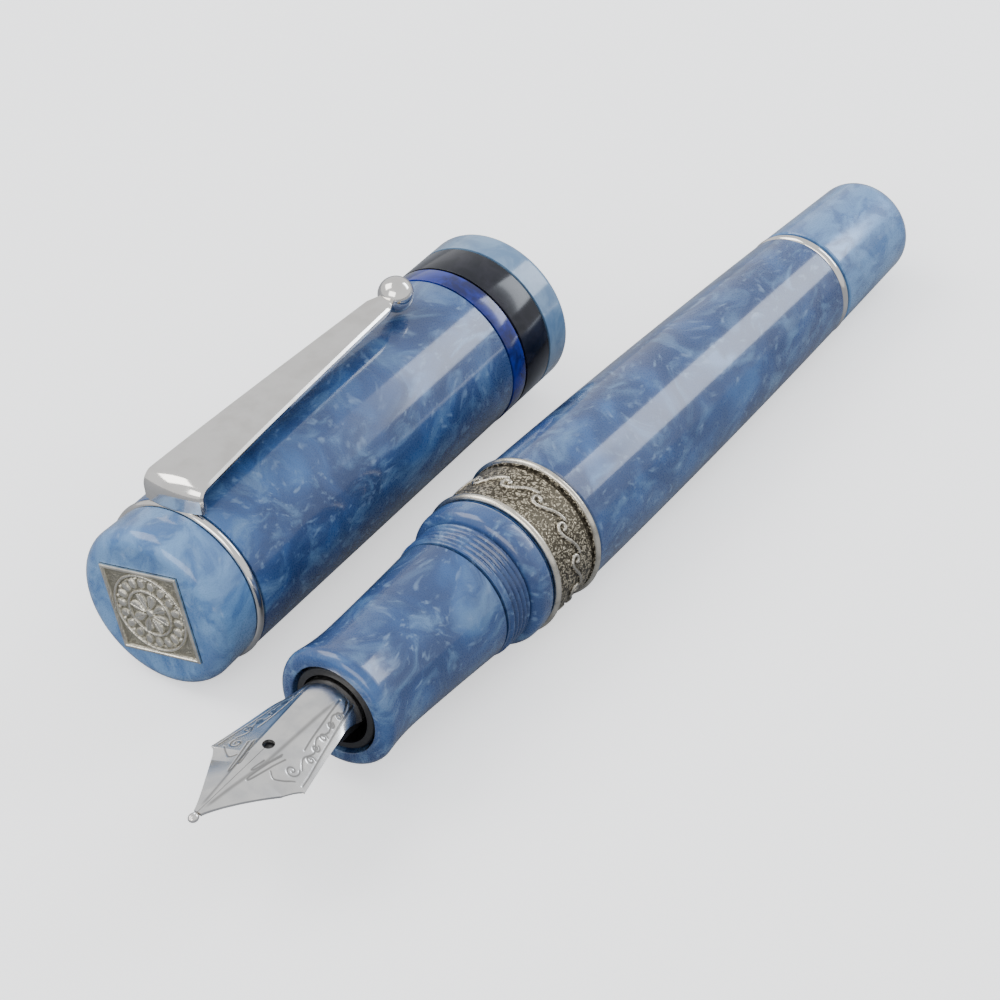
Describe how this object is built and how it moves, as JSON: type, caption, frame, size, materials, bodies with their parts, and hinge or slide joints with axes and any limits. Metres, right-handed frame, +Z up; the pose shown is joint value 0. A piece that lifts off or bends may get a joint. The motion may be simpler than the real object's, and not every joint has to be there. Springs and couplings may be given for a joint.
{
  "type": "fountain pen",
  "caption": "Large resin piston-filling fountain pen with engraved silver band, shown with its screw cap and sprung clip lying beside it.",
  "frame": {"origin": "centre of the pen and cap's footprint, on the table that both lie on", "axes": "+Y along the pen from nib to turning knob, +X from the cap towards the pen, +Z up"},
  "size_m": [0.0423, 0.1292, 0.0232],
  "materials": {
    "barrel": "polished marbled pearl-blue resin",
    "turning_knob": "polished marbled pearl-blue resin, paler end",
    "thread_collar": "polished marbled pearl-blue resin",
    "grip_section": "polished marbled pearl-blue resin",
    "cap_tube": "polished marbled pearl-blue resin",
    "finial": "polished marbled pearl-blue resin",
    "barrel_band": "antique silver with an engraved running scroll on a stippled ground",
    "nib": "polished steel with engraved scrolls",
    "nib_point": "polished hard metal pellet",
    "nib_housing": "satin black",
    "feed": "satin black ebonite",
    "ink_chamber": "clear grey liner",
    "section_seal": "black",
    "piston_seal": "black",
    "piston_rod": "machined",
    "piston_guide": "machined",
    "spindle": "machined",
    "spindle_bush": "machined",
    "knob_ring": "polished silver plate",
    "cap_blue_band": "translucent cobalt resin",
    "cap_black_band": "polished near-black resin",
    "cap_lip": "polished pale blue resin",
    "cap_thread_sleeve": "black, threaded inside",
    "inner_cap": "black",
    "clip_ring": "polished silver plate",
    "finial_badge": "antique silver with a raised frame and a round medallion",
    "finial_stud": "machined",
    "clip_arm": "polished silver plate",
    "clip_ball": "polished silver plate"
  },
  "bodies": {
    "pen": {"barrel": "barrel", "barrel_band": "barrel_band", "thread_collar": "thread_collar", "grip_section": "grip_section", "nib_housing": "nib_housing", "nib": "nib", "nib_point": "nib_point", "feed": "feed", "ink_chamber": "ink_chamber", "section_seal": "section_seal", "piston_guide": "piston_guide", "spindle_bush": "spindle_bush", "knob_ring": "knob_ring"},
    "knob": {"turning_knob": "turning_knob", "spindle": "spindle"},
    "piston": {"piston_seal": "piston_seal", "piston_rod": "piston_rod"},
    "cap": {"cap_tube": "cap_tube", "cap_blue_band": "cap_blue_band", "cap_black_band": "cap_black_band", "cap_lip": "cap_lip", "cap_thread_sleeve": "cap_thread_sleeve", "inner_cap": "inner_cap", "clip_ring": "clip_ring", "finial": "finial", "finial_badge": "finial_badge", "finial_stud": "finial_stud"},
    "clip": {"clip_arm": "clip_arm", "clip_ball": "clip_ball"}
  },
  "joints": [
    {"name": "knob_turn", "type": "hinge", "parent": "pen", "child": "knob", "pos_m": [0.01285, 0.04801, 0.00686], "axis": [0, 0.9997, -0.0257], "range_deg": [0, 1200]},
    {"name": "piston_slide", "type": "slide", "parent": "pen", "child": "piston", "axis": [0, -0.9997, 0.0257], "range_m": [0, 0.016]},
    {"name": "cap_slide", "type": "slide", "parent": "pen", "child": "cap", "axis": [-0.0175, 0.9998, 0], "range_m": [0, 0.03]},
    {"name": "clip_flex", "type": "hinge", "parent": "cap", "child": "clip", "pos_m": [-0.01173, -0.03599, 0.01894], "axis": [0.9934, 0.0173, 0.1132], "range_deg": [0, 5], "stiffness_Nm_per_rad": 8}
  ],
  "couplings": [
    {"joint": "knob_turn", "follows": "piston_slide", "rad_per_m": 1308.9}
  ]
}
